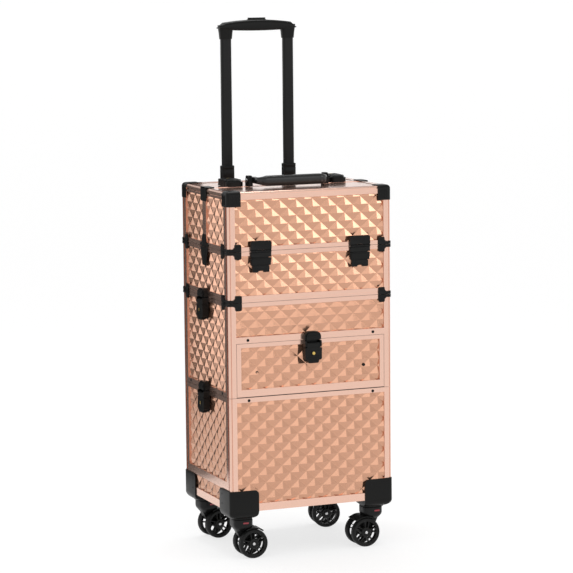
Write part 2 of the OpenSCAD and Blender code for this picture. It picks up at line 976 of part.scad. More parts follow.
module wheel_back_right_a() {
    at_caster(1, 1) wheel_on(heading_back_right, -1);
}

module wheel_back_right_b() {
    at_caster(1, 1) wheel_on(heading_back_right, 1);
}

base_box();
base_frame();
caster_brackets();
base_fittings();
trolley_tubes();
drawer_section_box();
drawer_section_frame();
drawer_channels();
drawer_section_fittings();
drawer_box();
drawer_front();
drawer_rails();
drawer_lock_base();
drawer_lock_lever();
train_case_box();
train_case_frame();
train_case_fittings();
tray_arm_brackets();
stay_hinge_leaves();
hinge_pins();
lid_front_shell();
lid_front_frame();
lid_front_corners();
lid_front_hinge_leaves();
lid_front_fittings();
carry_handle();
lid_back_shell();
lid_back_frame();
lid_back_corners();
lid_back_hinge_leaves();
lid_back_fittings();
front_tray_lower();
front_tray_upper();
back_tray_lower();
back_tray_upper();
front_arms_a();
front_arms_b();
back_arms_a();
back_arms_b();
lid_latch_lever_left();
lid_latch_lever_right();
upper_latch_lever_left();
upper_latch_lever_right();
lower_latch_lever_left();
lower_latch_lever_right();
trolley_poles();
trolley_grip();
trolley_button();
caster_fork_front_left();
caster_fork_front_right();
caster_fork_back_left();
caster_fork_back_right();
wheel_front_left_a();
wheel_front_left_b();
wheel_front_right_a();
wheel_front_right_b();
wheel_back_left_a();
wheel_back_left_b();
wheel_back_right_a();
wheel_back_right_b();
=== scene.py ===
"""Looks of the rolling makeup train case: embossed rose panels, anodised edge extrusions and black fittings,
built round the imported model. Lengths are millimetres in local frames, and each piece is scaled to metres
once."""

from math import atan2, ceil, cos, floor, pi, radians, sin, tan

import bmesh
import bpy
from mathutils import Matrix, Vector


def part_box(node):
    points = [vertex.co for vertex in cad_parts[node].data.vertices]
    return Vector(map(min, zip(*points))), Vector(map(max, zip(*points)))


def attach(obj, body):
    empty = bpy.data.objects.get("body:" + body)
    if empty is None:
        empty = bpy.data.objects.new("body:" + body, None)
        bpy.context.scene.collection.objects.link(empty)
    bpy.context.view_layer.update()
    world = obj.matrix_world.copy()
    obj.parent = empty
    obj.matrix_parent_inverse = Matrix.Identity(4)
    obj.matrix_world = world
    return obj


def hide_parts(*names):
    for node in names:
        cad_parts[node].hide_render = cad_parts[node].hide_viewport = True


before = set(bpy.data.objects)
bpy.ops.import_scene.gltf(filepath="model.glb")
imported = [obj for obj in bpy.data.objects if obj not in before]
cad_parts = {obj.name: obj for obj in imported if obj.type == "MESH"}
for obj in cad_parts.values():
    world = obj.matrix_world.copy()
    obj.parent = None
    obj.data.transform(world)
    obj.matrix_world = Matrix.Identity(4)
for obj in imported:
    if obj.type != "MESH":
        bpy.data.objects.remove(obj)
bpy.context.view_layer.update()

MM = 0.001
IDENTITY = Matrix.Identity(4)

# ---- Places, from the frame ----

SEAM = 0.3           # each section stops this far from the seam plane


def box_mm(node):
    """Lowest and highest corner of a CAD node, in millimetres."""
    low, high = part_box(node)
    return low / MM, high / MM


base_low, base_high = box_mm("base_frame")
HALF_W = base_high.x
HALF_D = (base_high.y - base_low.y) / 2
CASE_Y = (base_high.y + base_low.y) / 2
BODY_Z = base_low.z
MID_Z = base_high.z + SEAM
TIER_Z = box_mm("drawer_section_frame")[1].z + SEAM
LID_Z = box_mm("train_case_frame")[1].z + SEAM
TOP_Z = box_mm("lid_front_frame")[1].z
DRAWER_LOW, DRAWER_HIGH = box_mm("drawer_front")
LATCH_X = sum(c.x for c in box_mm("lid_latch_lever_right")) / 2
POLE_LOW, POLE_HIGH = box_mm("trolley_poles")
POLE_Y = (POLE_LOW.y + POLE_HIGH.y) / 2 - CASE_Y
WHEEL_R = box_mm("wheel_front_left_a")[1].z / 2
COLLAR_TOP = box_mm("base_fittings")[1].z
GRIP_LOW, GRIP_HIGH = box_mm("trolley_grip")

# Frame extrusions: widths of the flanges, and how far the boards lie behind their outer face
EDGE_FRONT = 15
EDGE_SIDE = 22
BOARD_BACK = 4.5
STRIP = 9.4          # beside the parting of the lid, on its sides
BASE_RAIL = 9.6      # heights of the rails beside the seams
SLIM_RAIL = 8.6
BROAD_RAIL = 13      # above the drawer, and above the seam of the train case
END_RAIL = 15        # along the bottom of the base, and round the top of the lid
BAR_Z = BODY_Z + 42  # foot of the bars on the sides of the base, and top of the corner shoes
BAR_H = 16
SINK = 0.02          # fittings reach this far into the face they sit on


# ---- Mesh tools ----

def quarter(axis):
    """Quarter turn about an axis of the local frame."""
    return Matrix.Rotation(pi / 2, 4, axis)


def arc(centre, radius, start, end, steps):
    """Points of an arc, angles in degrees."""
    turns = [radians(start + (end - start) * i / steps) for i in range(steps + 1)]
    return [(centre[0] + radius * cos(a), centre[1] + radius * sin(a)) for a in turns]


def rounded(points, radii, steps=5):
    """Outline with its corners turned into arcs; radii is one number, or one for each corner."""
    if isinstance(radii, (int, float)):
        radii = [radii] * len(points)
    out = []
    for i, (point, radius) in enumerate(zip(map(Vector, points), radii)):
        if not radius:
            out.append(tuple(point))
            continue
        back = (Vector(points[i - 1]) - point).normalized()
        on = (Vector(points[(i + 1) % len(points)]) - point).normalized()
        half = back.angle(on) / 2
        centre = point + (back + on).normalized() * radius / sin(half)
        first = point + back * radius / tan(half) - centre
        last = point + on * radius / tan(half) - centre
        start = atan2(first.y, first.x)
        turn = (atan2(last.y, last.x) - start + pi) % (2 * pi) - pi
        for k in range(steps + 1):
            a = start + turn * k / steps
            out.append((centre.x + radius * cos(a), centre.y + radius * sin(a)))
    return out


def rectangle(width, depth, radius=0, steps=5, middle=(0, 0)):
    x, y = middle
    w, d = width / 2, depth / 2
    return rounded([(x - w, y - d), (x + w, y - d), (x + w, y + d), (x - w, y + d)], radius, steps)


class Part:
    """Collects the closed solids of one piece, each built in a local frame that `at` carries to the case."""

    def __init__(self):
        self.mesh = bmesh.new()

    def loft(self, rings, at=IDENTITY, closed=False):
        """Skin through rings of equally many points; closed joins the last ring to the first."""
        rows = [[self.mesh.verts.new(at @ Vector(p)) for p in ring] for ring in rings]
        count = len(rows[0])
        following = rows[1:] + rows[:1] if closed else rows[1:]
        for low, high in zip(rows, following):
            for i in range(count):
                j = (i + 1) % count
                self.mesh.faces.new((low[i], low[j], high[j], high[i]))
        if not closed:
            self.mesh.faces.new(rows[0][::-1])
            self.mesh.faces.new(rows[-1])
        return [v for row in rows for v in row]

    def prism(self, outline, low, high, at=IDENTITY):
        self.loft([[(x, y, z) for x, y in outline] for z in (low, high)], at)

    def plate(self, outline, low, high, at=IDENTITY):
        """Outline drawn on a face (across, up), thick from low to high out of the face."""
        self.loft([[(x, -out, z) for x, z in outline] for out in (low, high)], at)

    def box(self, low, high, at=IDENTITY):
        outline = [(low[0], low[1]), (high[0], low[1]), (high[0], high[1]), (low[0], high[1])]
        self.prism(outline, low[2], high[2], at)

    def lathe(self, profile, at=IDENTITY, steps=48):
        """Turns an outline of (radius, height) points about the local z axis."""
        angles = [2 * pi * i / steps for i in range(steps)]
        rings = [[(r * cos(a), r * sin(a), z) for r, z in profile] for a in angles]
        verts = self.loft(rings, at, closed=True)
        bmesh.ops.remove_doubles(self.mesh, verts=verts, dist=0.001)

    def rivet(self, radius, at=IDENTITY, height=0.9):
        """Domed head with a dimple, on a face: across, into the face and up."""
        profile = [(0, -0.4), (radius, -0.4), (radius, height * 0.3), (radius * 0.8, height * 0.85),
                   (radius * 0.45, height), (radius * 0.35, height * 0.4), (0, height * 0.4)]
        self.lathe(profile, at @ quarter("X"), 20)


def piece(part, name, body, slot, bevel=0.4, stands_for=(), crease=35):
    """Makes the object, gives it its material and its body, and softens its edges."""
    bmesh.ops.recalc_face_normals(part.mesh, faces=part.mesh.faces)
    part.mesh.transform(Matrix.Scale(MM, 4))
    mesh = bpy.data.meshes.new(name)
    part.mesh.to_mesh(mesh)
    part.mesh.free()
    obj = bpy.data.objects.new(name, mesh)
    bpy.context.scene.collection.objects.link(obj)
    mesh.materials.append(FINISH[slot])
    soften(obj, bevel, crease)
    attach(obj, body)
    if stands_for:
        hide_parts(*stands_for)
    return obj


def soften(obj, bevel, crease=35, segments=2):
    """Smooth shading with a small round on every edge sharper than the crease angle."""
    obj.data.shade_smooth()
    obj.data.set_sharp_from_angle(angle=radians(crease))
    if bevel:
        mod = obj.modifiers.new("edges", "BEVEL")
        mod.width = bevel * MM
        mod.segments = segments
        mod.limit_method = "ANGLE"
        mod.angle_limit = radians(crease)
        mod.harden_normals = True


def facing(turn, across=0, up=0):
    """Frame on an upright face: x across it, y into it, z up. Turn 0 is the front, 90 the right side,
    180 the back and 270 the left side."""
    reach = HALF_D if turn % 180 == 0 else HALF_W
    return (Matrix.Translation((0, CASE_Y, 0)) @ Matrix.Rotation(radians(turn), 4, "Z")
            @ Matrix.Translation((across, -reach, up)))


def on_lid(across):
    """Frame on the lid's top, with the lid seam along its x axis and its z axis towards the front."""
    return (Matrix.Translation((across, CASE_Y, TOP_Z)) @ Matrix.Rotation(pi, 4, "Z")
            @ Matrix.Rotation(-pi / 2, 4, "X"))


def corner(side_x, side_y, up=0, flip=1):
    """Frame at an upright edge of the case, the case at -x and +y of it; sides are 1 or -1, front is 1."""
    return (Matrix.Translation((0, CASE_Y, up)) @ Matrix.Diagonal((side_x, side_y, flip, 1))
            @ Matrix.Translation((HALF_W, -HALF_D, 0)))


CORNERS = [(1, 1), (-1, 1), (1, -1), (-1, -1)]


# ---- Materials ----

FINISH = {}


def finish(slot, colour, rough, metal=0.0, grain=900, bump=0.1, vary=0.05, rough_vary=0.06, wear=0.0,
           coat=0.0, specular=0.5, sheen=0.0, cells=False):
    """Procedural material: broad colour drift, fine grain in roughness and height, and paler worn edges."""
    mat = bpy.data.materials.new(slot)
    mat.use_nodes = True
    nodes, link = mat.node_tree.nodes, mat.node_tree.links.new
    shader = nodes["Principled BSDF"]
    shader.inputs["Metallic"].default_value = metal
    shader.inputs["Coat Weight"].default_value = coat
    shader.inputs["Coat Roughness"].default_value = 0.15
    shader.inputs["Specular IOR Level"].default_value = specular
    shader.inputs["Sheen Weight"].default_value = sheen
    place = nodes.new("ShaderNodeTexCoord")

    def noise(scale, detail):
        node = nodes.new("ShaderNodeTexNoise")
        node.inputs["Scale"].default_value = scale
        node.inputs["Detail"].default_value = detail
        link(place.outputs["Object"], node.inputs["Vector"])
        return node.outputs["Fac"]

    def mix(factor, dark, light):
        node = nodes.new("ShaderNodeMix")
        node.data_type = "RGBA"
        link(factor, node.inputs["Factor"])
        for socket, value in (("A", dark), ("B", light)):
            target = next(s for s in node.inputs if s.name == socket and s.type == "RGBA")
            if isinstance(value, tuple):
                target.default_value = (*value, 1)
            else:
                link(value, target)
        return next(s for s in node.outputs if s.type == "RGBA")

    drift = noise(14, 3)
    shade = mix(drift, tuple(c * (1 - vary) for c in colour), tuple(min(1, c * (1 + vary)) for c in colour))
    if wear:
        edge = nodes.new("ShaderNodeNewGeometry")
        ramp = nodes.new("ShaderNodeMapRange")
        ramp.inputs["From Min"].default_value = 0.52
        ramp.inputs["From Max"].default_value = 0.62
        ramp.inputs["To Max"].default_value = wear
        link(edge.outputs["Pointiness"], ramp.inputs["Value"])
        shade = mix(ramp.outputs["Result"], shade, tuple(min(1, c * 2.5 + 0.03) for c in colour))
    link(shade, shader.inputs["Base Color"])
    fine = noise(grain, 4)
    rub = nodes.new("ShaderNodeMapRange")
    rub.inputs["From Min"].default_value = 0.3
    rub.inputs["From Max"].default_value = 0.7
    rub.inputs["To Min"].default_value = rough - rough_vary
    rub.inputs["To Max"].default_value = rough + rough_vary
    blotch = nodes.new("ShaderNodeMath")
    blotch.operation = "MULTIPLY_ADD"
    blotch.inputs[1].default_value = 0.5
    link(fine, blotch.inputs[0])
    half = nodes.new("ShaderNodeMath")
    half.operation = "MULTIPLY"
    half.inputs[1].default_value = 0.5
    link(drift, half.inputs[0])
    link(half.outputs[0], blotch.inputs[2])
    link(blotch.outputs[0], rub.inputs["Value"])
    link(rub.outputs["Result"], shader.inputs["Roughness"])
    height = fine
    if cells:
        grid = nodes.new("ShaderNodeTexVoronoi")
        grid.inputs["Scale"].default_value = grain / 2
        link(place.outputs["Object"], grid.inputs["Vector"])
        height = grid.outputs["Distance"]
    relief = nodes.new("ShaderNodeBump")
    relief.inputs["Strength"].default_value = bump
    relief.inputs["Distance"].default_value = 0.0004
    link(height, relief.inputs["Height"])
    link(relief.outputs["Normal"], shader.inputs["Normal"])
    FINISH[slot] = mat
    return mat


finish("rose_panel", (0.60, 0.312, 0.197), 0.20, metal=0.9, grain=1200, bump=0.06, vary=0.035, coat=0.6)
finish("rose_aluminium", (0.79, 0.51, 0.405), 0.19, metal=0.95, grain=1600, bump=0.05, vary=0.03, coat=0.2)
finish("lining", (0.022, 0.021, 0.021), 0.85, grain=700, bump=0.5, sheen=0.2, cells=True)
finish("tray_plastic", (0.02, 0.02, 0.021), 0.6, grain=1500, bump=0.25, wear=0.2)
finish("steel", (0.50, 0.50, 0.51), 0.32, metal=1.0, grain=1800, bump=0.08, wear=0.2)
finish("chrome", (0.62, 0.62, 0.62), 0.14, metal=1.0, grain=1800, bump=0.02)
finish("black_fittings", (0.004, 0.004, 0.0037), 0.32, grain=1300, bump=0.12, vary=0.2, wear=0.12,
       specular=0.16)
finish("black_gloss", (0.008, 0.008, 0.008), 0.20, grain=1300, bump=0.05, vary=0.2, rough_vary=0.03)
finish("black_steel", (0.006, 0.006, 0.006), 0.36, grain=1600, bump=0.12, vary=0.15, wear=0.12,
       specular=0.18)
finish("black_aluminium", (0.012, 0.012, 0.012), 0.30, metal=0.4, grain=2200, bump=0.06, vary=0.1,
       specular=0.2)
finish("wheel_plastic", (0.006, 0.006, 0.0055), 0.40, grain=1500, bump=0.15, vary=0.2, wear=0.12,
       specular=0.2)
finish("wheel_tread", (0.006, 0.006, 0.006), 0.55, grain=1000, bump=0.3, vary=0.3, specular=0.2)
finish("brass", (0.62, 0.42, 0.12), 0.3, metal=1.0, grain=1800, bump=0.05, wear=0.2)
finish("red_inlay", (0.26, 0.008, 0.02), 0.32, grain=1200, bump=0.05, vary=0.15, coat=0.4)


# ---- CAD nodes that are shown as they are ----

def keep(slot, bevel, *names):
    """Gives CAD nodes their finish and soft edges."""
    for name in names:
        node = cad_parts[name]
        node.data.materials.clear()
        node.data.materials.append(FINISH[slot])
        soften(node, bevel)


keep("rose_aluminium", 0.5, "base_frame", "drawer_section_frame", "train_case_frame", "lid_front_frame",
     "lid_back_frame", "drawer_front")
keep("lining", 0, "base_box", "drawer_section_box", "train_case_box", "lid_front_shell", "lid_back_shell",
     "drawer_box")
keep("tray_plastic", 0.4, "front_tray_lower", "front_tray_upper", "back_tray_lower", "back_tray_upper")
keep("steel", 0.2, "drawer_channels", "drawer_rails", "tray_arm_brackets", "hinge_pins", "front_arms_a",
     "front_arms_b", "back_arms_a", "back_arms_b")
keep("black_steel", 0.2, "trolley_tubes")
keep("black_aluminium", 0.3, "trolley_poles")
keep("black_fittings", 0.5, "trolley_button")


# ---- Embossed panels ----

DIAMOND_W = 34       # across one diamond
DIAMOND_H = 30.6     # up one diamond
PEAK = 3.6
SHEET_BACK = BOARD_BACK - 0.03
VALLEY = BOARD_BACK - 0.5


def diamond_sheet(name, body, at, left, right, low, high, apex=(6.5, 686)):
    """Sheet of four-sided pyramids on a diamond lattice, cut to a rectangle of the face."""
    half_w, half_h = DIAMOND_W / 2, DIAMOND_H / 2
    part = Part()
    mesh = part.mesh
    columns = range(floor((left - apex[0]) / half_w) - 1, ceil((right - apex[0]) / half_w) + 2)
    rows = range(floor((low - apex[1]) / half_h) - 1, ceil((high - apex[1]) / half_h) + 2)
    for i in columns:
        for j in rows:
            if (i + j) % 2:
                continue
            x, z = apex[0] + i * half_w, apex[1] + j * half_h
            peak = mesh.verts.new((x, VALLEY - PEAK, z))
            rim = [mesh.verts.new((x + dx, VALLEY, z + dz))
                   for dx, dz in ((half_w, 0), (0, half_h), (-half_w, 0), (0, -half_h))]
            for k in range(4):
                mesh.faces.new((peak, rim[k], rim[(k + 1) % 4]))
    bmesh.ops.remove_doubles(mesh, verts=mesh.verts, dist=0.01)
    for point, normal in (((left, 0, 0), (-1, 0, 0)), ((right, 0, 0), (1, 0, 0)),
                          ((0, 0, low), (0, 0, -1)), ((0, 0, high), (0, 0, 1))):
        geometry = mesh.verts[:] + mesh.edges[:] + mesh.faces[:]
        bmesh.ops.bisect_plane(mesh, geom=geometry, plane_co=point, plane_no=normal, clear_outer=True)
    border = [e for e in mesh.edges if e.is_boundary]
    skirt = bmesh.ops.extrude_edge_only(mesh, edges=border)["geom"]
    for v in skirt:
        if isinstance(v, bmesh.types.BMVert):
            v.co.y = SHEET_BACK
    bmesh.ops.edgeloop_fill(mesh, edges=[e for e in skirt if isinstance(e, bmesh.types.BMEdge)])
    mesh.transform(at)
    return piece(part, name, body, "rose_panel", bevel=0.55, crease=7)


def panel_ring(prefix, body, low, high, faces=("front", "right", "back", "left")):
    """The same band of panel on several faces of a section."""
    turns = {"front": 0, "right": 90, "back": 180, "left": 270}
    for face in faces:
        reach = HALF_W - EDGE_FRONT if face in ("front", "back") else HALF_D - EDGE_SIDE
        diamond_sheet(f"{prefix}_{face}", body, facing(turns[face]), -reach, reach, low, high)


def panels():
    w = HALF_W - EDGE_FRONT
    d = HALF_D - EDGE_SIDE
    panel_ring("base_panel", "base", BODY_Z + END_RAIL, MID_Z - BASE_RAIL, ("front", "back"))
    panel_ring("base_panel_upper", "base", BAR_Z + BAR_H, MID_Z - BASE_RAIL, ("right", "left"))
    panel_ring("base_panel_lower", "base", BODY_Z + END_RAIL, BAR_Z, ("right", "left"))
    top = TIER_Z - SLIM_RAIL
    panel_ring("drawer_section_panel", "drawer_section", MID_Z + BASE_RAIL, top, ("right", "back", "left"))
    above = DRAWER_HIGH.z + BROAD_RAIL
    diamond_sheet("drawer_section_panel_front", "drawer_section", facing(0), -w, w, above, top)
    panel_ring("train_case_panel", "train_case", TIER_Z + BROAD_RAIL, LID_Z - SLIM_RAIL)
    diamond_sheet("drawer_panel", "drawer", facing(0), DRAWER_LOW.x + 9, DRAWER_HIGH.x - 9,
                  DRAWER_LOW.z + 14, DRAWER_HIGH.z - 8)
    low, high = LID_Z + SLIM_RAIL, TOP_Z - END_RAIL
    diamond_sheet("lid_front_panel", "lid_front", facing(0), -w, w, low, high)
    diamond_sheet("lid_back_panel", "lid_back", facing(180), -w, w, low, high)
    diamond_sheet("lid_front_panel_right", "lid_front", facing(90), -d, -STRIP, low, high)
    diamond_sheet("lid_back_panel_right", "lid_back", facing(90), STRIP, d, low, high)
    diamond_sheet("lid_front_panel_left", "lid_front", facing(270), STRIP, d, low, high)
    diamond_sheet("lid_back_panel_left", "lid_back", facing(270), -d, -STRIP, low, high)


# ---- Key latches ----

LATCH_W = 35
LATCH_UP = 17
LATCH_DOWN = 45
LATCH_OUT = 14
LATCH_PIN = (9, -8)  # out of the face, and up from the seam
CHEEK = 3.3
KEY_Z = -25.5
KEY_R = 3.1


def latch_base(part, at):
    """Plate below the seam with the two solid cheeks that hold the lever's pin."""
    w = LATCH_W / 2
    part.plate(rounded([(-w + 1, -43), (w - 1, -43), (w, -0.7), (-w, -0.7)], [4, 4, 1, 1]), -SINK, 3, at)
    cheek = rounded([(-SINK, -14), (-13, -14), (-13, -0.7), (-SINK, -0.7)], [0, 3, 3, 0])
    for side in (-1, 1):
        x = side * (w - CHEEK / 2)
        part.loft([[(x + dx, y, z) for y, z in cheek] for dx in (-CHEEK / 2, CHEEK / 2)], at)


def latch_catch(part, at):
    """Round-topped block above the seam, with a raised frame and a sunk middle."""
    w, top = LATCH_W / 2, LATCH_UP
    outline = rounded([(-w, 0.7), (w, 0.7), (w, top), (-w, top)], [0.8, 0.8, 11, 11], 8)
    part.plate(outline, 0, 9.5, at)
    w -= 3.4
    inner = rounded([(-w, 0.7), (w, 0.7), (w, top - 3), (-w, top - 3)], [0.5, 0.5, 8, 8], 8)
    part.plate(inner, 9.4, 12, at)
    part.plate(rectangle(LATCH_W - 14, 3.6, 1.6, middle=(0, 7.2)), 11.9, 13, at)


def latch_lever(part, at):
    """Full-depth lever between the cheeks and wider below them, with raised lines, a key boss and a finger
    tip."""
    w = LATCH_W / 2
    neck = w - 3.9
    tip = 10.5
    shoulder = -14.8
    head = LATCH_PIN[1] + 1.5
    front = LATCH_OUT - 0.8
    part.plate(rounded([(-w, -39), (w, -39), (w, shoulder), (-w, shoulder)], [4, 4, 1, 1]), 3.2, front, at)
    end = [(-tip, -LATCH_DOWN), (tip, -LATCH_DOWN), (tip + 2, -37), (-tip - 2, -37)]
    part.plate(rounded(end, [3, 3, 1, 1]), 3.2, front - 0.3, at)
    foot = shoulder - 1
    part.plate([(-neck, foot), (neck, foot), (neck, head), (-neck, head)], front - 3, front, at)
    for z, half in ((-20.5, w - 2), (-31, w - 2.5), (-35.5, w - 4)):
        part.plate(rectangle(2 * half, 1.1, 0.5, middle=(0, z)), front - 0.1, front + 0.7, at)
    part.plate(rectangle(2 * tip - 4, 1.3, 0.6, middle=(0, -41.5)), front - 0.4, front + 0.3, at)
    part.lathe([(0, 0), (5.6, 0), (5.6, 0.9), (4.9, 1.3), (3.4, 1.3), (3.4, 0.6), (0, 0.6)],
               at @ Matrix.Translation((0, 0.1 - front, KEY_Z)) @ quarter("X"), 36)
    roll = at @ Matrix.Translation((0, -LATCH_PIN[0], LATCH_PIN[1])) @ quarter("Y")
    part.lathe([(0, -neck), (3.6, -neck), (3.6, neck), (0, neck)], roll, 24)
    part.lathe([(0, -neck - 3.4), (1.7, -neck - 3.4), (1.7, neck + 3.4), (0, neck + 3.4)], roll, 16)


def key_plug(part, at):
    """Brass lock cylinder, split by its keyway."""
    for start, end in ((192, 348), (12, 168)):
        part.plate(arc((0, KEY_Z), KEY_R, start, end, 12), LATCH_OUT - 0.6, LATCH_OUT + 0.3, at)
    disc = arc((0, KEY_Z), KEY_R, 0, 360, 24)[:-1]
    part.plate(disc, LATCH_OUT - 0.7, LATCH_OUT - 0.2, at)


def levers():
    places = {
        "drawer_lock_lever": ("drawer_lock", facing(0, 0, DRAWER_HIGH.z)),
        "upper_latch_lever_left": ("upper_latch_left", facing(270, 0, TIER_Z)),
        "upper_latch_lever_right": ("upper_latch_right", facing(90, 0, TIER_Z)),
        "lower_latch_lever_left": ("lower_latch_left", facing(270, 0, MID_Z)),
        "lower_latch_lever_right": ("lower_latch_right", facing(90, 0, MID_Z)),
        "lid_latch_lever_left": ("lid_latch_left", on_lid(-LATCH_X)),
        "lid_latch_lever_right": ("lid_latch_right", on_lid(LATCH_X)),
    }
    for node, (body, at) in places.items():
        lever, plug = Part(), Part()
        latch_lever(lever, at)
        key_plug(plug, at)
        piece(lever, f"{node}_body", body, "black_fittings", 0.45, (node,))
        piece(plug, f"{node}_key_plug", body, "brass", 0.15)


# ---- Corner guards, caps and wedges ----

SKIN = 1.6           # thickness of the guards


def seam_pad(part, at):
    """Half of a corner guard above a seam: a band round the upright edge, with a pad at each end."""
    band = rounded([(-27, -SKIN), (SKIN, -SKIN), (SKIN, 34), (0, 34), (0, 0), (-27, 0)],
                   [0.3, 6, 0.3, 0.3, 4.4, 0.3])
    part.prism(band, 0.4, 6, at)
    pad = rounded([(-27, 0.4), (-10, 0.4), (-10, 6), (-13.5, 9), (-14, 14.6), (-27, 14.6)],
                  [0.4, 0.4, 2, 2, 2, 3])
    part.plate(pad, -SINK, SKIN + 0.6, at)
    side = rounded([(34, 0.4), (34, 14.6), (23, 14.6), (21.5, 9), (19, 6), (19, 0.4)],
                   [0.4, 3, 2, 2, 2, 0.4])
    part.loft([[(x, y, z) for y, z in side] for x in (-SINK, SKIN + 0.6)], at)
    part.rivet(1.7, at @ Matrix.Translation((-20.5, -SKIN - 0.6, 9.6)), 0.6)
    part.rivet(1.5, at @ Matrix.Translation((SKIN + 0.6, 28.5, 9.6)) @ quarter("Z"), 0.6)


def corner_cap(part, at):
    """Cap over a top corner of the lid: three plates with a round corner, and ribs."""
    reach, drop = 27, 28
    n, t = reach + SKIN, SKIN
    shell = bmesh.new()
    bmesh.ops.create_cube(shell, size=1)
    middle = Matrix.Translation((-n / 2 + t, n / 2 - t, (t - drop) / 2))
    shell.transform(middle @ Matrix.Diagonal((n, n, drop + t, 1)))
    tip = Vector((t, -t, t))
    edges = [e for e in shell.edges if any((v.co - tip).length < 0.01 for v in e.verts)]
    bmesh.ops.bevel(shell, geom=edges, offset=7.5, segments=5, profile=0.5, affect="EDGES",
                    clamp_overlap=True)
    inner = [f for f in shell.faces if f.normal.dot(Vector((-1, 1, -1))) > 0.9]
    bmesh.ops.delete(shell, geom=inner, context="FACES")
    bmesh.ops.solidify(shell, geom=shell.faces[:], thickness=t - 0.1)
    shell.transform(at)
    loose = bpy.data.meshes.new("cap")
    shell.to_mesh(loose)
    shell.free()
    part.mesh.from_mesh(loose)
    bpy.data.meshes.remove(loose)
    for k in range(5):
        a = -8.5 - 3.6 * k
        part.box((a - 1, -t - 0.5, -drop + 4), (a + 1, -t + 0.3, -7), at)
        part.box((t - 0.3, -a - 1, -drop + 4), (t + 0.5, -a + 1, -7), at)


def lid_corners(half, side_y):
    """Caps, half seam guards and the middle pieces of the sides, on one lid half."""
    part = Part()
    for side_x in (-1, 1):
        corner_cap(part, corner(side_x, side_y, TOP_Z))
        seam_pad(part, corner(side_x, side_y, LID_Z))
        middle = corner(side_x, side_y, 0) @ Matrix.Translation((0, HALF_D, 0))
        wedge = rounded([(-22, 0.6), (-0.5, 0.6), (-0.5, 24), (-7, 24), (-12, 9), (-22, 5)],
                        [1.5, 0.3, 0.3, 2.5, 3, 1.5])
        part.loft([[(x, y, LID_Z + z) for y, z in wedge] for x in (-SINK, SKIN + 0.4)], middle)
        cap = rounded([(-15.4, -26), (-0.5, -26), (-0.5, SKIN), (-15.4, SKIN)], [4, 0.3, 0.3, 2])
        part.loft([[(x, y, TOP_Z + z) for y, z in cap] for x in (-SINK, SKIN)], middle)
        part.box((-16, -15.4, TOP_Z - SINK), (SKIN, -0.5, TOP_Z + SKIN), middle)
        part.rivet(1.8, middle @ Matrix.Translation((SKIN + 0.4, -5, LID_Z + 12)) @ quarter("Z"), 0.6)
    piece(part, f"lid_{half}_corner_guards", f"lid_{half}", "black_fittings", 0.5,
          (f"lid_{half}_corners",))


def tier_wedge(part, turn):
    """Wedge-shaped plate at the middle of a side, below the lid seam."""
    outline = rounded([(-20, -0.6), (-14, -20), (-9, -37), (9, -37), (14, -20), (20, -0.6)],
                      [1.5, 6, 3, 3, 6, 1.5])
    at = facing(turn, 0, LID_Z)
    part.plate(outline, -SINK, SKIN + 0.4, at)
    inner = rounded([(-9, -4), (-5, -32), (5, -32), (9, -4)], 1.5)
    part.plate(inner, SKIN, SKIN + 1, at)
    for z in (-9, -28):
        part.rivet(1.8, at @ Matrix.Translation((0, -SKIN - 1, z)), 0.6)


def section_fittings():
    part = Part()
    for side_x, side_y in CORNERS:
        seam_pad(part, corner(side_x, side_y, TIER_Z, -1))
    for turn in (90, 270):
        latch_catch(part, facing(turn, 0, MID_Z))
        latch_base(part, facing(turn, 0, TIER_Z))
    latch_catch(part, facing(0, 0, DRAWER_HIGH.z))
    piece(part, "drawer_section_hardware", "drawer_section", "black_fittings", 0.45,
          ("drawer_section_fittings",))

    part = Part()
    latch_base(part, facing(0, 0, DRAWER_HIGH.z))
    piece(part, "drawer_lock_plate", "drawer", "black_fittings", 0.45, ("drawer_lock_base",))

    part = Part()
    for side_x, side_y in CORNERS:
        seam_pad(part, corner(side_x, side_y, LID_Z, -1))
        seam_pad(part, corner(side_x, side_y, TIER_Z))
    for turn in (90, 270):
        tier_wedge(part, turn)
        latch_catch(part, facing(turn, 0, TIER_Z))
    piece(part, "train_case_hardware", "train_case", "black_fittings", 0.45, ("train_case_fittings",))

    lid_corners("front", 1)
    lid_corners("back", -1)
    part = Part()
    for side in (-1, 1):
        latch_base(part, on_lid(side * LATCH_X))
    piece(part, "lid_back_hardware", "lid_back", "black_fittings", 0.45, ("lid_back_fittings",))


# ---- Stay hinges ----

HINGE_X = 104
HINGE_W = 43
HINGE_OUT = 2.5      # the pin's middle, out of the face
KNUCKLE = 2.45       # radius of the barrels
BORE = 1.45          # radius of their bores


def knuckle(part, at, left, right):
    """One barrel of a hinge, round the pin."""
    barrel = at @ Matrix.Translation((0, -HINGE_OUT, 0)) @ quarter("Y")
    part.lathe([(BORE, left), (KNUCKLE, left), (KNUCKLE, right), (BORE, right)], barrel, 28)


def lid_leaf(part, at):
    """Moving leaf: block with chamfered top corners and two rivets, over two barrels."""
    w, mid = HINGE_W / 2, 17.8 / 2
    block = [(-w, 3.2), (w, 3.2), (w, 17.5), (w - 3, 20), (-w + 3, 20), (-w, 17.5)]
    part.plate(rounded(block, 0.6, 3), -SINK, 4.6, at)
    for side in (-1, 1):
        left, right = sorted((side * mid, side * w))
        part.box((left, -3, 0.6), (right, -SINK, 4), at)
        knuckle(part, at, left, right)
    for x in (-10, 10):
        part.rivet(1.9, at @ Matrix.Translation((x, -4.6, 12)), 0.7)


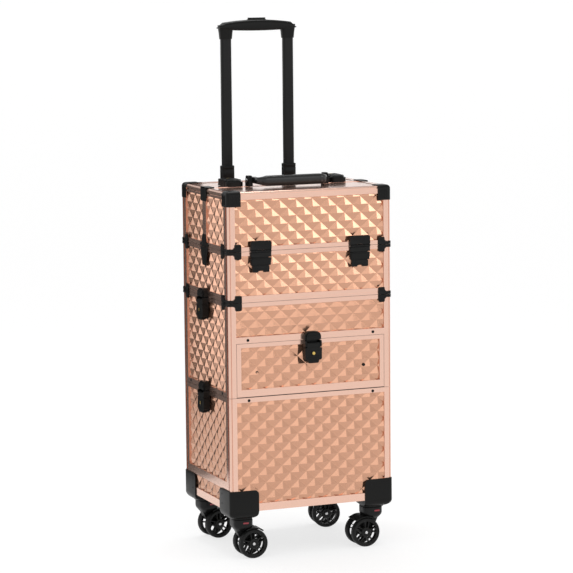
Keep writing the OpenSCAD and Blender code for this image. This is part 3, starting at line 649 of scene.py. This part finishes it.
def stay_leaf(part, at):
    """Fixed leaf: middle barrel, broad block, a raised band below a groove, and a notched tongue."""
    w, tongue, mid = HINGE_W / 2, 17.5, 8.5
    part.plate(rounded([(-w, -11.6), (w, -11.6), (w, -0.9), (-w, -0.9)], 0.5, 3), -SINK, 3, at)
    part.plate(rectangle(HINGE_W - 1, 8, 0.8, middle=(0, -7)), 2.9, 4.2, at)
    block = [(-w + 1.5, -27.6), (w - 1.5, -27.6), (w, -16), (w, -12.8), (-w, -12.8), (-w, -16)]
    part.plate(rounded(block, 0.8, 3), -SINK, 3, at)
    part.plate(rectangle(HINGE_W - 4, 10, 3, middle=(0, -20)), 2.5, 4.4, at)
    notched = rounded([(-tongue, -41), (-6, -41), (-4.5, -37.5), (4.5, -37.5), (6, -41), (tongue, -41),
                       (tongue, -28.4), (-tongue, -28.4)], [2, 1, 0.8, 0.8, 1, 2, 0.5, 0.5], 3)
    part.plate(notched, -SINK, 2.9, at)
    part.plate([(-tongue + 1, -30), (tongue - 1, -30), (tongue - 1, -11), (-tongue + 1, -11)], -SINK, 1.6, at)
    knuckle(part, at, -mid, mid)
    for x in (-10, 10):
        part.rivet(1.5, at @ Matrix.Translation((x, -4.2, -6)), 0.4)
        part.rivet(1.5, at @ Matrix.Translation((x, -2.9, -34)), 0.6)


def stay_hinges():
    fixed = Part()
    for turn in (0, 180):
        moving = Part()
        for side in (-1, 1):
            at = facing(turn, side * HINGE_X, LID_Z)
            stay_leaf(fixed, at)
            lid_leaf(moving, at)
        half = "front" if turn == 0 else "back"
        piece(moving, f"lid_{half}_hinge_plates", f"lid_{half}", "black_fittings", 0.35,
              (f"lid_{half}_hinge_leaves",))
    piece(fixed, "stay_hinge_plates", "train_case", "black_fittings", 0.35, ("stay_hinge_leaves",))


# ---- Carry handle ----

HANDLE_X = 76        # inner faces of the brackets
HANDLE_Y = -11       # pivots: place, and height over the lid's top
HANDLE_UP = 12
GRIP_Y = -44
GRIP_R = 9.5


def handle_brackets():
    part = Part()
    rivets = Part()
    for side in (-1, 1):
        at = Matrix.Translation((side * HANDLE_X, CASE_Y, TOP_Z)) @ Matrix.Diagonal((side, 1, 1, 1))
        outline = rounded([(-22, 0), (-1, 0), (-1, 6), (-4.5, 21), (-17.5, 21), (-22, 11)],
                          [0.5, 0.5, 3, 3, 3, 4])
        part.loft([[(x, y, z) for y, z in outline] for x in (0.6, 9)], at)
        pivot = at @ Matrix.Translation((9, HANDLE_Y, HANDLE_UP)) @ quarter("Y")
        rivets.lathe([(0, -0.2), (3, -0.2), (3, 0.7), (2, 1.2), (0, 1.2)], pivot, 24)
        latch_catch(part, on_lid(side * LATCH_X))
    piece(part, "lid_front_hardware", "lid_front", "black_fittings", 0.5, ("lid_front_fittings",))
    piece(rivets, "handle_rivets", "lid_front", "chrome", 0.2)


def carry_handle():
    """Arms and grip in one sweep along a U, fuller and rounder along the grip."""
    arm_x = HANDLE_X - 5
    bend = 15
    path = [Vector((-arm_x, HANDLE_Y + (GRIP_Y + bend - HANDLE_Y) * i / 8)) for i in range(9)]
    path += [Vector(p) for p in arc((-arm_x + bend, GRIP_Y + bend), bend, 180, 270, 8)[1:]]
    path += [Vector((-arm_x + bend + (arm_x - bend) * i / 10, GRIP_Y)) for i in range(1, 11)]
    path += [Vector((-p.x, p.y)) for p in path[-2::-1]]
    rings = []
    for i, point in enumerate(path):
        ahead = path[min(i + 1, len(path) - 1)] - path[max(i - 1, 0)]
        side = Vector((ahead.y, -ahead.x)).normalized()
        full = min(1, max(0, (arm_x + 4 - abs(point.x)) / 20))
        full = full * full * (3 - 2 * full)
        wide, tall = 4.5 + 5 * full, 6 + (GRIP_R + 0.8 - 6) * full
        ring = []
        for k in range(24):
            a = 2 * pi * k / 24
            c, s = cos(a), sin(a)
            reach = (abs(c) ** 4 + abs(s) ** 4) ** (-1 / 4)
            flat = point + side * (wide * reach * c)
            ring.append((flat.x, CASE_Y + flat.y, TOP_Z + HANDLE_UP + tall * reach * s))
        rings.append(ring)
    part = Part()
    part.loft(rings)
    for side in (-1, 1):
        pivot = Vector((side * arm_x, CASE_Y + HANDLE_Y, TOP_Z + HANDLE_UP))
        at = Matrix.Translation(pivot) @ quarter("Y")
        part.lathe([(0, -4.5), (6.4, -4.5), (6.4, 4.5), (0, 4.5)], at, 28)
        part.lathe([(0, -10), (2.4, -10), (2.4, 10), (0, 10)], at, 16)
    grip = piece(part, "carry_handle_grip", "handle", "black_fittings", 0.4, ("carry_handle",))
    grip.data.materials[0] = FINISH["black_gloss"]


# ---- Trolley handle ----

TUBE = (22, 13, 5)   # pole: width, depth and corner radius
SPAN = (POLE_HIGH.x - TUBE[0] / 2) * 2
SLEEVE = 1.65        # the sleeve's outer face lies this far outside the pole


def ring_of(width, depth, radius, z, middle):
    return [(x, y, z) for x, y in rectangle(width, depth, radius, 6, middle)]


def trolley():
    """Grip with an arched back, chamfered ends and tapering sockets for the poles."""
    half = GRIP_HIGH.x
    top = GRIP_HIGH.z
    depth = GRIP_HIGH.y - GRIP_LOW.y
    crown, sag, thick = 7, 3, 19
    part = Part()
    rings = []
    steps = 28
    for i in range(steps + 1):
        u = 2 * i / steps - 1
        x = u * half
        end = max(0, (abs(u) - 0.86) / 0.14)
        up = top - crown * u * u - 9 * end
        low = top - thick - sag * (1 - u * u) + 2.5 * end
        squeeze = 1 - 0.12 * end
        tall = up - low
        outline = rectangle(depth * squeeze, tall, min(5.5, tall * 0.42), 5, (POLE_Y, (up + low) / 2))
        rings.append([(x, CASE_Y + y, z) for y, z in outline])
    part.loft(rings)
    for side in (-1, 1):
        middle = (side * SPAN / 2, CASE_Y + POLE_Y)
        foot = POLE_HIGH.z - 6
        socket = ((foot, 0), (foot + 1.5, 0.8), (foot + 12, 2.6), (foot + 24, 6), (top - 10, 6.5))
        part.loft([ring_of(TUBE[0] + 2.4 + grow, TUBE[1] + 3 + grow, TUBE[2] + 1 + grow / 3, z, middle)
                   for z, grow in socket])
    piece(part, "trolley_grip_body", "trolley", "black_fittings", 0.5, ("trolley_grip",))
    seat = Part()
    seat.prism(rectangle(41, 15.5, 7, 6, (0, CASE_Y + POLE_Y)), top - 1.6, top + 0.6)
    piece(seat, "trolley_button_seat", "trolley", "black_steel", 0.4)


def base_hardware():
    """Latch bases, grooved collars at the tops of the sleeves, and the clamps that hold the sleeves."""
    part = Part()
    for turn in (90, 270):
        latch_base(part, facing(turn, 0, MID_Z))
    inside = SLEEVE + 0.02
    for side in (-1, 1):
        middle = (side * SPAN / 2, CASE_Y + POLE_Y)

        def wall(z, grow):
            return ring_of(TUBE[0] + 2 * grow, TUBE[1] + 2 * grow, TUBE[2] + grow * 0.5, z, middle)

        rings = [wall(COLLAR_TOP - 26, inside), wall(COLLAR_TOP - 26, 2.3), wall(COLLAR_TOP - 24, 2.9),
                 wall(COLLAR_TOP - 8, 2.9), wall(COLLAR_TOP - 7, 2.4), wall(COLLAR_TOP - 6, 2.9),
                 wall(COLLAR_TOP - 1, 2.9), wall(COLLAR_TOP, 2.3), wall(COLLAR_TOP, 0.25),
                 wall(COLLAR_TOP - 4, 0.25), wall(COLLAR_TOP - 4, inside)]
        part.loft(rings, closed=True)
        for z in (BODY_Z + 20, MID_Z - 50):
            clamp(part, Matrix.Translation((middle[0], CASE_Y, z)))
    piece(part, "base_hardware", "base", "black_fittings", 0.4, ("base_fittings",))


def clamp(part, at):
    """Saddle over a sleeve, open for it, with two screwed feet against the case and a spacer between the
    sleeve and the case."""
    tall = 26
    y0 = HALF_D
    gap = SLEEVE + 0.05
    hold = TUBE[0] / 2 + gap
    reach = POLE_Y + TUBE[1] / 2 + gap
    outer = POLE_Y + 12
    saddle = rounded([(-21, y0), (-hold, y0), (-hold, reach), (hold, reach), (hold, y0), (21, y0),
                      (21, y0 + 5), (15.5, y0 + 8), (15.5, outer), (-15.5, outer), (-15.5, y0 + 8),
                      (-21, y0 + 5)],
                     [0.5, 0, 5.2, 5.2, 0, 0.5, 2, 2, 6, 6, 2, 2])
    part.prism(saddle, 0, tall, at)
    part.box((-hold + 0.5, y0 - SINK, 0.5), (hold - 0.5, POLE_Y - TUBE[1] / 2 - gap, tall - 0.5), at)
    for side in (-1, 1):
        foot = at @ Matrix.Translation((side * 18.3, y0 + 5.3, tall / 2))
        part.rivet(1.7, foot @ Matrix.Rotation(pi, 4, "Z"), 0.8)


# ---- Casters ----

CASTER_IN = 31
NECK_Z = BODY_Z - 17
FORK_T = 14
TRAIL = 20
WHEEL_W = 14
WHEEL_Y = FORK_T / 2 + 1.5 + WHEEL_W / 2
PLATE = 2            # thickness of the corner shoe, and its reach along each side
REACH = 60
FUNNEL_END = 45
FORK_TOP = NECK_Z - 0.6
HEADING = {"front_left": 0, "front_right": 180, "back_left": 8, "back_right": 172}


def caster_place(name):
    side_x = 1 if name.endswith("right") else -1
    side_y = -1 if name.startswith("front") else 1
    return Matrix.Translation((side_x * (HALF_W - CASTER_IN), CASE_Y + side_y * (HALF_D - CASTER_IN), 0))


def caster_shoe(part, at):
    """Corner shoe: an angle plate round the bottom corner, flowing into the funnel that carries the
    swivel."""
    t = PLATE
    rings = []
    for z, cut in [(BODY_Z - 1, 0)] + [(BAR_Z - 9 + y, 9 - x) for x, y in arc((0, 0), 9, 0, 85, 8)]:
        end = REACH - t - cut
        angle = [(-end, -t), (t, -t), (t, end), (-SINK, end), (-SINK, SINK), (-end, SINK)]
        rings.append([(x, y, z) for x, y in rounded(angle, [0.2, 7, 0.2, 0, 3, 0], 6)])
    part.loft(rings, at)
    middle = Vector((-CASTER_IN, CASTER_IN))
    square = Vector((t - REACH / 2, REACH / 2 - t))
    rings = []
    neck = ((NECK_Z + 2.4, 1), (NECK_Z + 2.2, 1.12), (NECK_Z, 1.12))
    for z, lean in ((BODY_Z + 1.5, 0), *funnel_steps(), *neck):
        size = REACH + 0.1 + (FUNNEL_END - REACH) * lean
        centre = square.lerp(middle, min(1, lean))
        radii = [1.5 + 13 * lean, 7 + 7 * lean, 1.5 + 13 * lean, 6 + 8 * lean]
        half = size / 2
        plan = [(-half, -half), (half, -half), (half, half), (-half, half)]
        rings.append([(centre.x + x, centre.y + y, z) for x, y in rounded(plan, radii, 6)])
    part.loft(rings, at)
    for z in (BAR_Z - 11, BODY_Z + 12):
        part.rivet(1.8, at @ Matrix.Translation((t - 47, -t, z)), 0.5)
        part.rivet(1.8, at @ Matrix.Translation((t, 47 - t, z)) @ quarter("Z"), 0.5)


def funnel_steps():
    """Heights of the funnel's curve, each with how far it has drawn in, from 0 to 1."""
    high, low = BODY_Z - 1.5, NECK_Z + 3
    turns = [pi / 2 * i / 8 for i in range(9)]
    return [(high - (high - low) * sin(a), 1 - cos(a)) for a in turns]


def caster_fork(part, at):
    """Swivel housing, forked leg down to the axle, and the mudguard over the two wheels."""
    low, top = 2 * WHEEL_R + 3, FORK_TOP
    rings = [(top, 38, 40, 12), (top - 1, 40, 42, 13), (low + 6, 40, 42, 13), (low + 2, 38, 40, 12),
             (low - 3, 31, 32, 10), (low - 9, 22, 16, 5)]
    part.loft([[(x + 1.5, y, z) for x, y in rectangle(w, d, r, 6)] for z, w, d, r in rings], at)
    leg = rounded([(-15, low + 2), (-6, 44), (TRAIL - 10, WHEEL_R - 3), (TRAIL, WHEEL_R - 10),
                   (TRAIL + 10, WHEEL_R), (19, low + 2)], [1, 6, 4, 8, 6, 1])
    part.plate(leg, -FORK_T / 2, FORK_T / 2, at)
    axle = (TRAIL, WHEEL_R)
    inner = WHEEL_R + 1
    guard = arc(axle, WHEEL_R + 3, 52, 118, 12) + arc(axle, inner, 118, 52, 12)
    lip = arc(axle, WHEEL_R + 4, 50, 55, 2) + arc(axle, inner, 55, 50, 2)
    for outline in (guard, lip):
        part.plate(outline, -WHEEL_Y - 5, WHEEL_Y + 5, at)


def fork_inlays(part, at):
    """Red bars let into the two flat sides of the housing."""
    bar = rectangle(12, 3.4, 1.6, middle=(3.5, 71.5))
    for turn in (0, pi):
        part.plate(bar, 20.4, 21.3, at @ Matrix.Rotation(turn, 4, "Z"))


def wheel(tread, rim, at):
    """Tyre on a rim with five pairs of thin spokes, and a broad hub."""
    w = WHEEL_W / 2
    r = WHEEL_R

    def both_sides(half):
        """Whole profile from its lower half."""
        return half + [(radius, -z) for radius, z in half[::-1]]

    tread.lathe(both_sides([(r - 4.6, -w + 0.6), (r - 1.8, -w), (r - 0.5, -w + 1.3), (r, -w + 3.5)]), at, 64)
    rim.lathe([(r - 7, -w + 1.6), (r - 4.7, -w + 0.8), (r - 4.4, 0), (r - 4.7, w - 0.8), (r - 7, w - 1.6)],
              at, 64)
    hub = [(3.05, -w - 0.2), (5, -w - 0.2), (6, -w + 1), (9.3, -w + 1.6), (10.5, -w + 3.4)]
    rim.lathe(both_sides(hub), at, 48)
    for i in range(5):
        for side in (-1, 1):
            pair = at @ Matrix.Rotation(2 * pi * (i + 0.35) / 5, 4, "Z")
            spoke = pair @ Matrix.Rotation(side * 0.07, 4, "Z")
            rim.box((8, side * 2.4 - 0.9, -w + 2.6), (r - 6, side * 2.4 + 0.9, w - 2.6), spoke)
        web = at @ Matrix.Rotation(2 * pi * (i + 0.85) / 5, 4, "Z")
        rim.box((5.5, -1, -w + 0.9), (9.8, 1, w - 0.9), web)


def casters():
    shoes = Part()
    for side_x, side_y in CORNERS:
        caster_shoe(shoes, corner(side_x, side_y))
    piece(shoes, "caster_shoes", "base", "black_fittings", 0.5, ("caster_brackets",))
    for name, angle in HEADING.items():
        turned = caster_place(name) @ Matrix.Rotation(radians(angle), 4, "Z")
        fork, inlays, axle = Part(), Part(), Part()
        caster_fork(fork, turned)
        fork_inlays(inlays, turned)
        axle_at = turned @ Matrix.Translation((TRAIL, 0, WHEEL_R)) @ quarter("X")
        end = WHEEL_Y + WHEEL_W / 2 + 0.9
        axle.lathe([(0, -end), (2.2, -end), (3, -end + 0.8), (3, end - 0.8), (2.2, end), (0, end)],
                   axle_at, 24)
        body = f"fork_{name}"
        piece(fork, f"{body}_housing", body, "black_steel", 0.5, (f"caster_fork_{name}",))
        piece(inlays, f"{body}_inlays", body, "red_inlay", 0.4)
        piece(axle, f"{body}_axle", body, "chrome", 0)
        for letter, side in (("a", -1), ("b", 1)):
            tread, rim = Part(), Part()
            hub_at = turned @ Matrix.Translation((TRAIL, side * WHEEL_Y, WHEEL_R)) @ quarter("X")
            wheel(tread, rim, hub_at)
            body = f"wheel_{name}_{letter}"
            piece(rim, f"{body}_rim", body, "wheel_plastic", 0.3, (body,))
            piece(tread, f"{body}_tread", body, "wheel_tread", 0)


# ---- Screws in the frame ----

def frame_screws():
    drawer_mid = (DRAWER_LOW.z + DRAWER_HIGH.z) / 2 - 6
    rows = {
        "base": [(0, x, MID_Z - 6) for x in (-131, 131)] + [(180, x, MID_Z - 6) for x in (-131, 131)],
        "drawer_section": [(0, x, DRAWER_HIGH.z + 6.5) for x in (-132, 132)]
                          + [(turn, x, MID_Z + 5) for turn in (90, 270) for x in (-88, 88)],
        "drawer": [(0, x, drawer_mid) for x in (-113, 113)],
    }
    for body, places in rows.items():
        part = Part()
        for turn, across, up in places:
            sink = 2.2 if body == "drawer" else 0
            part.rivet(3, facing(turn, across, up) @ Matrix.Translation((0, sink, 0)), 1)
        piece(part, f"{body}_screws", body, "black_steel", 0.15)


# ---- Stage ----

def camera():
    """Long lens, slightly above and to the left of the front."""
    azimuth, elevation, roll = radians(-22.2), radians(7.34), radians(-0.56)
    distance = 5.115
    target = Vector((0.0013, CASE_Y * MM, 0.5154))
    back = Vector((sin(azimuth) * cos(elevation), -cos(azimuth) * cos(elevation), sin(elevation)))
    data = bpy.data.cameras.new("camera")
    data.lens = 161.6
    data.sensor_width = 36
    data.clip_end = 200
    cam = bpy.data.objects.new("camera", data)
    cam.location = target + back * distance
    right = Vector((0, 0, 1)).cross(back).normalized()
    up = back.cross(right)
    tilted = (right * cos(roll) + up * sin(roll), up * cos(roll) - right * sin(roll))
    cam.rotation_euler = Matrix((tilted[0], tilted[1], back)).transposed().to_euler()
    bpy.context.scene.collection.objects.link(cam)
    bpy.context.scene.camera = cam


def card(name, left, right, top, y, glow):
    """Upright card behind the case that only reflections see: it keeps the faces turned towards it dark."""
    paint = bpy.data.materials.new(name)
    paint.use_nodes = True
    shader = paint.node_tree.nodes["Principled BSDF"]
    shader.inputs["Base Color"].default_value = (0.01, 0.01, 0.01, 1)
    shader.inputs["Specular IOR Level"].default_value = 0
    shader.inputs["Emission Color"].default_value = (1, 1, 1, 1)
    shader.inputs["Emission Strength"].default_value = glow
    mesh = bpy.data.meshes.new(name)
    mesh.from_pydata([(left, y, 0.01), (right, y, 0.01), (right, y, top), (left, y, top)], [], [(0, 1, 2, 3)])
    mesh.materials.append(paint)
    sheet = bpy.data.objects.new(name, mesh)
    sheet.visible_camera = False
    sheet.visible_diffuse = False
    sheet.visible_shadow = False
    bpy.context.scene.collection.objects.link(sheet)


def area_light(name, place, aim, size, glow):
    """Soft box of even radiance, which the camera doesn't see."""
    data = bpy.data.lights.new(name, "AREA")
    data.shape = "RECTANGLE"
    data.size, data.size_y = size
    data.energy = glow * pi * size[0] * size[1]
    lamp = bpy.data.objects.new(name, data)
    lamp.location = place
    lamp.rotation_euler = (Vector(aim) - Vector(place)).to_track_quat("-Z", "Y").to_euler()
    lamp.visible_camera = False
    bpy.context.scene.collection.objects.link(lamp)


def sky():
    """Even studio light, brighter round the horizon than overhead."""
    world = bpy.data.worlds.new("studio")
    bpy.context.scene.world = world
    world.use_nodes = True
    nodes, link = world.node_tree.nodes, world.node_tree.links.new
    place = nodes.new("ShaderNodeTexCoord")
    split = nodes.new("ShaderNodeSeparateXYZ")
    fall = nodes.new("ShaderNodeMapRange")
    fall.inputs["From Min"].default_value = 0.1
    fall.inputs["From Max"].default_value = 0.6
    fall.inputs["To Min"].default_value = 1.0
    fall.inputs["To Max"].default_value = 0.45
    link(place.outputs["Generated"], split.inputs["Vector"])
    link(split.outputs["Z"], fall.inputs["Value"])
    link(fall.outputs["Result"], nodes["Background"].inputs["Strength"])
    nodes["Background"].inputs["Color"].default_value = (1, 1, 1, 1)


def stage():
    floor_mat = bpy.data.materials.new("floor")
    floor_mat.use_nodes = True
    nodes, link = floor_mat.node_tree.nodes, floor_mat.node_tree.links.new
    shader = nodes["Principled BSDF"]
    shader.inputs["Roughness"].default_value = 0.8
    shader.inputs["Specular IOR Level"].default_value = 0.1
    speck = nodes.new("ShaderNodeTexNoise")
    speck.inputs["Scale"].default_value = 3
    tone = nodes.new("ShaderNodeMapRange")
    tone.inputs["To Min"].default_value = 0.28
    tone.inputs["To Max"].default_value = 0.30
    shader.inputs["Emission Color"].default_value = (1, 1, 1, 1)
    shader.inputs["Emission Strength"].default_value = 0.73
    link(speck.outputs["Fac"], tone.inputs["Value"])
    link(tone.outputs["Result"], shader.inputs["Base Color"])
    mesh = bpy.data.meshes.new("floor")
    far = 100
    mesh.from_pydata([(-far, -far, 0), (far, -far, 0), (far, far, 0), (-far, far, 0)], [], [(0, 1, 2, 3)])
    mesh.materials.append(floor_mat)
    ground = bpy.data.objects.new("floor", mesh)
    bpy.context.scene.collection.objects.link(ground)

    card("dark_card", -0.33, 0.05, 0.86, 0.6, 0)
    card("grey_card", -0.66, -0.33, 0.80, 0.6, 0.10)
    sky()
    sun = bpy.data.lights.new("overhead", "SUN")
    sun.energy = 1.1
    sun.angle = radians(70)
    lamp = bpy.data.objects.new("overhead", sun)
    lamp.rotation_euler = (radians(12), radians(-10), 0)
    bpy.context.scene.collection.objects.link(lamp)
    area_light("key", (1.16, -1.12, 1.12), (0.1, -0.13, 0.65), (0.42, 0.42), 2.9)
    area_light("front", (0.3, -3.4, 1.35), (0, 0, 0.5), (2.8, 1.1), 0.75)
    area_light("rim", (-2.0, 1.75, 1.15), (-0.1, 0, 0.6), (0.9, 1.2), 0.85)
    area_light("top", (0, 0.5, 2.2), (0, 0, 0.8), (1.2, 0.5), 6.0)
    scene = bpy.context.scene
    scene.view_settings.view_transform = "Standard"


panels()
levers()
section_fittings()
stay_hinges()
handle_brackets()
carry_handle()
trolley()
base_hardware()
casters()
frame_screws()
camera()
stage()
